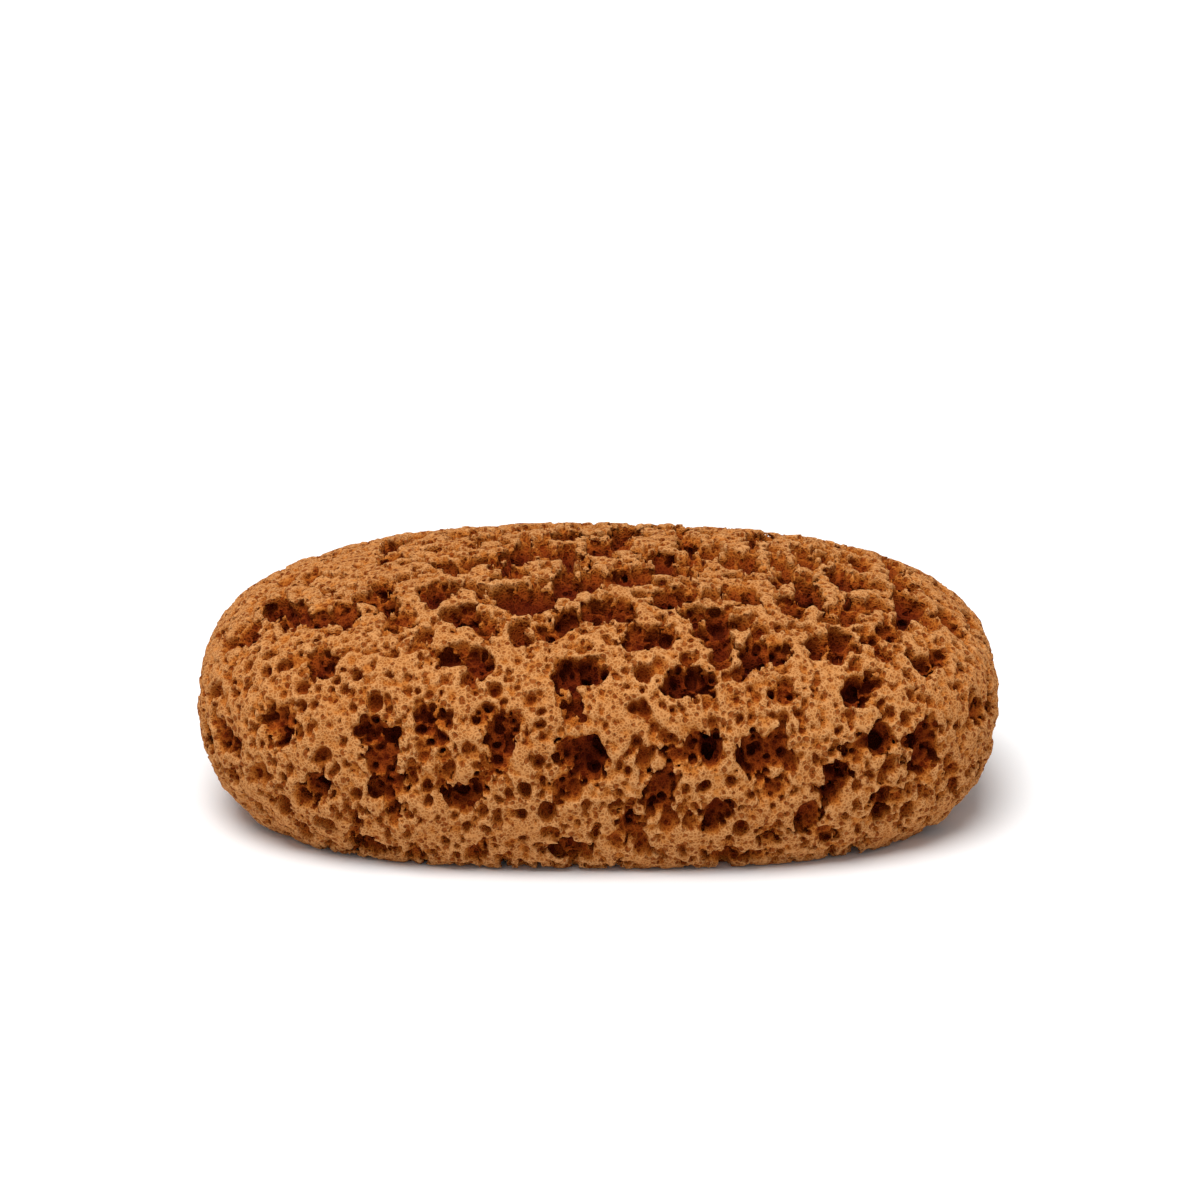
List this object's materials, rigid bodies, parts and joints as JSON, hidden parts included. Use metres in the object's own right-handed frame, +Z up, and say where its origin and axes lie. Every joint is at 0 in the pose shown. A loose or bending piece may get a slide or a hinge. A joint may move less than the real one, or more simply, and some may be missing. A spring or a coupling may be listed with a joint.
{
  "type": "sea sponge",
  "caption": "Oval bath sponge with a domed top, steep sides and a flat underside, deeply pitted all over, for washing.",
  "frame": {"origin": "middle of the flat underside, at the centre of the outline", "axes": "+X along the sponge's long side, +Y towards the back, +Z up"},
  "size_m": [0.2, 0.124, 0.0634],
  "materials": {
    "sponge": "open-celled, matt, fibrous, darker and redder inside the pits"
  },
  "bodies": {
    "root": {"sponge": "sponge"}
  },
  "joints": []
}
